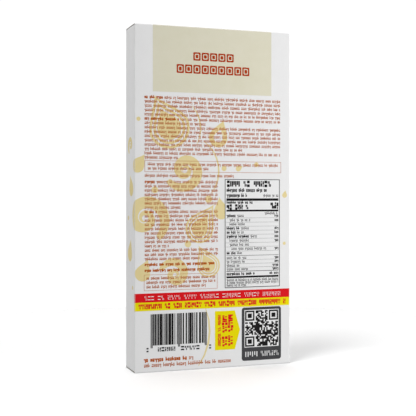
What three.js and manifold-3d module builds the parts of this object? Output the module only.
// Shut folding carton of a chocolate bar, standing upright on one small end.
//
// Millimetres, +Z up, origin at the middle of the base. The label panel faces -Y.
// One sheet of board makes the whole pack: a sleeve of four panels, glued along the rear
// right corner, with an end panel at the top and at the bottom. Each end panel folds off
// the label panel, lies on the dust flaps of the side panels and tucks in behind the rear
// panel. The pack is shut and filled, so it is one solid, and its folds, cut edges, tuck
// slits and glued seam are relief in that solid.

import * as THREE from 'three';
import { mergeVertices } from 'three/addons/utils/BufferGeometryUtils.js';
import Module from 'manifold-3d';

// The pack
const WIDTH = 80; // along X, across the label panel
const DEPTH = 16.4; // along Y, across the side panels
const HEIGHT = 165; // along Z, from end panel to end panel

// The board and its folds
const BOARD = 0.45; // thickness of the board
const FOLD_RADIUS = 0.55; // outside of every fold
const ARC_STEPS = 6; // straight pieces that a quarter-round fold is made of

// The ends and the seam
const END_INSET = 0.2; // an end panel stops this far short of each side panel's face
const SLIT_WIDTH = 0.3; // gap between the tuck fold and the rear panel's cut edge
const SLIT_DEPTH = 1.4; // how far that gap reaches in from the end
const SEAM_SET_BACK = 1; // cut edge of the right side panel, short of the rear face

const BOARD_COLOUR = 0xf1f0ee;
const BOARD_ROUGHNESS = 0.45;
const OVERRUN = 1; // how far a cutting solid passes the surface that it cuts

const wasm = await Module();
wasm.setup();

const RIGHT = WIDTH / 2;
const REAR = DEPTH / 2;
const REAR_INSIDE = REAR - BOARD; // inner face of the rear panel
const TUCK = REAR_INSIDE - SLIT_WIDTH; // outer face of the tucked fold
const QUARTER = Math.PI / 2;

// Points of a quarter circle that starts at `quarters` right angles from the first axis.
function quarterRound(centreX, centreY, radius, quarters) {
  const start = quarters * QUARTER;
  const curve = new THREE.EllipseCurve(centreX, centreY, radius, radius, start, start + QUARTER);
  return curve.getPoints(ARC_STEPS);
}

// A closed solid from an outline, with its middle at the middle of the extrusion.
// `first` and `second` are the directions that the outline's own axes take in the pack.
function extrudeCentred(points, length, first, second) {
  const shape = new THREE.Shape(points);
  const geometry = new THREE.ExtrudeGeometry(shape, { depth: length, steps: 1, bevelEnabled: false });
  geometry.translate(0, 0, -length / 2);
  const third = new THREE.Vector3().crossVectors(first, second);
  geometry.applyMatrix4(new THREE.Matrix4().makeBasis(first, second, third));
  return toManifold(geometry);
}

function toManifold(geometry) {
  geometry.deleteAttribute('normal');
  geometry.deleteAttribute('uv');
  const merged = mergeVertices(geometry);
  const mesh = new wasm.Mesh({
    numProp: 3,
    vertProperties: new Float32Array(merged.attributes.position.array),
    triVerts: new Uint32Array(merged.index.array),
  });
  return new wasm.Manifold(mesh);
}

function toGeometry(solid) {
  const mesh = solid.getMesh();
  const geometry = new THREE.BufferGeometry();
  geometry.setAttribute('position', new THREE.BufferAttribute(mesh.vertProperties, 3));
  geometry.setIndex(new THREE.BufferAttribute(mesh.triVerts, 1));
  geometry.computeVertexNormals();
  return geometry;
}

// A block from one corner to the opposite one.
function block(low, high) {
  const size = new THREE.Vector3().subVectors(high, low);
  const middle = new THREE.Vector3().addVectors(low, high).multiplyScalar(0.5);
  const geometry = new THREE.BoxGeometry(size.x, size.y, size.z);
  geometry.translate(middle.x, middle.y, middle.z);
  return toManifold(geometry);
}

const X_AXIS = new THREE.Vector3(1, 0, 0);
const Y_AXIS = new THREE.Vector3(0, 1, 0);
const Z_AXIS = new THREE.Vector3(0, 0, 1);

// Seen from above: four panels with three rounded folds. At the rear right corner the side
// panel ends in a cut edge, glued over a flap that folds off the rear panel one board
// thickness further in.
function sleeve() {
  const flapFace = RIGHT - BOARD;
  const cutEdge = REAR - SEAM_SET_BACK;
  const outline = [
    ...quarterRound(-RIGHT + FOLD_RADIUS, -REAR + FOLD_RADIUS, FOLD_RADIUS, 2),
    ...quarterRound(RIGHT - FOLD_RADIUS, -REAR + FOLD_RADIUS, FOLD_RADIUS, 3),
    new THREE.Vector2(RIGHT, cutEdge),
    new THREE.Vector2(flapFace, cutEdge),
    ...quarterRound(flapFace - FOLD_RADIUS, REAR - FOLD_RADIUS, FOLD_RADIUS, 0),
    ...quarterRound(-RIGHT + FOLD_RADIUS, REAR - FOLD_RADIUS, FOLD_RADIUS, 1),
  ];
  return extrudeCentred(outline, HEIGHT, X_AXIS, Y_AXIS).translate([0, 0, HEIGHT / 2]);
}

// Seen from the side: the label panel rolls over into the end panels, and the rear panel
// ends in square cut edges.
function rolledEnds() {
  const outline = [
    ...quarterRound(-REAR + FOLD_RADIUS, FOLD_RADIUS, FOLD_RADIUS, 2),
    new THREE.Vector2(REAR, 0),
    new THREE.Vector2(REAR, HEIGHT),
    ...quarterRound(-REAR + FOLD_RADIUS, HEIGHT - FOLD_RADIUS, FOLD_RADIUS, 1),
  ];
  return extrudeCentred(outline, WIDTH, Y_AXIS, Z_AXIS);
}

// Seen from the front: the side panels fold inward as dust flaps, one board thickness below
// the end panels.
function dustFlapFolds() {
  const top = HEIGHT - BOARD;
  const outline = [
    ...quarterRound(-RIGHT + FOLD_RADIUS, BOARD + FOLD_RADIUS, FOLD_RADIUS, 2),
    ...quarterRound(RIGHT - FOLD_RADIUS, BOARD + FOLD_RADIUS, FOLD_RADIUS, 3),
    ...quarterRound(RIGHT - FOLD_RADIUS, top - FOLD_RADIUS, FOLD_RADIUS, 0),
    ...quarterRound(-RIGHT + FOLD_RADIUS, top - FOLD_RADIUS, FOLD_RADIUS, 1),
  ];
  return extrudeCentred(outline, DEPTH, X_AXIS, Z_AXIS);
}

// The gap behind the top end panel, with the rounding of its tuck fold. The bottom one is
// its mirror image.
function tuckSlit() {
  const outline = [
    new THREE.Vector2(TUCK, HEIGHT - SLIT_DEPTH),
    new THREE.Vector2(REAR_INSIDE, HEIGHT - SLIT_DEPTH),
    new THREE.Vector2(REAR_INSIDE, HEIGHT + OVERRUN),
    new THREE.Vector2(TUCK - FOLD_RADIUS, HEIGHT + OVERRUN),
    ...quarterRound(TUCK - FOLD_RADIUS, HEIGHT - FOLD_RADIUS, FOLD_RADIUS, 0).reverse(),
  ];
  return extrudeCentred(outline, WIDTH - 2 * END_INSET, Y_AXIS, Z_AXIS);
}

function carton() {
  const folded = sleeve().intersect(rolledEnds());
  const endPanels = block(
    new THREE.Vector3(-RIGHT + END_INSET, -DEPTH, -OVERRUN),
    new THREE.Vector3(RIGHT - END_INSET, DEPTH, HEIGHT + OVERRUN),
  );
  const rearPanel = block(
    new THREE.Vector3(-WIDTH, REAR_INSIDE, -OVERRUN),
    new THREE.Vector3(WIDTH, DEPTH, HEIGHT + OVERRUN),
  );
  const kept = dustFlapFolds().add(endPanels).add(rearPanel);
  const slit = tuckSlit();
  const lowerSlit = slit.mirror([0, 0, 1]).translate([0, 0, HEIGHT]);
  return folded.intersect(kept).subtract(slit).subtract(lowerSlit);
}

const board = new THREE.MeshStandardMaterial({
  color: BOARD_COLOUR,
  roughness: BOARD_ROUGHNESS,
  metalness: 0,
});

const mesh = new THREE.Mesh(toGeometry(carton()), board);
mesh.name = 'carton';

const pack = new THREE.Group();
pack.add(mesh);

export default pack;
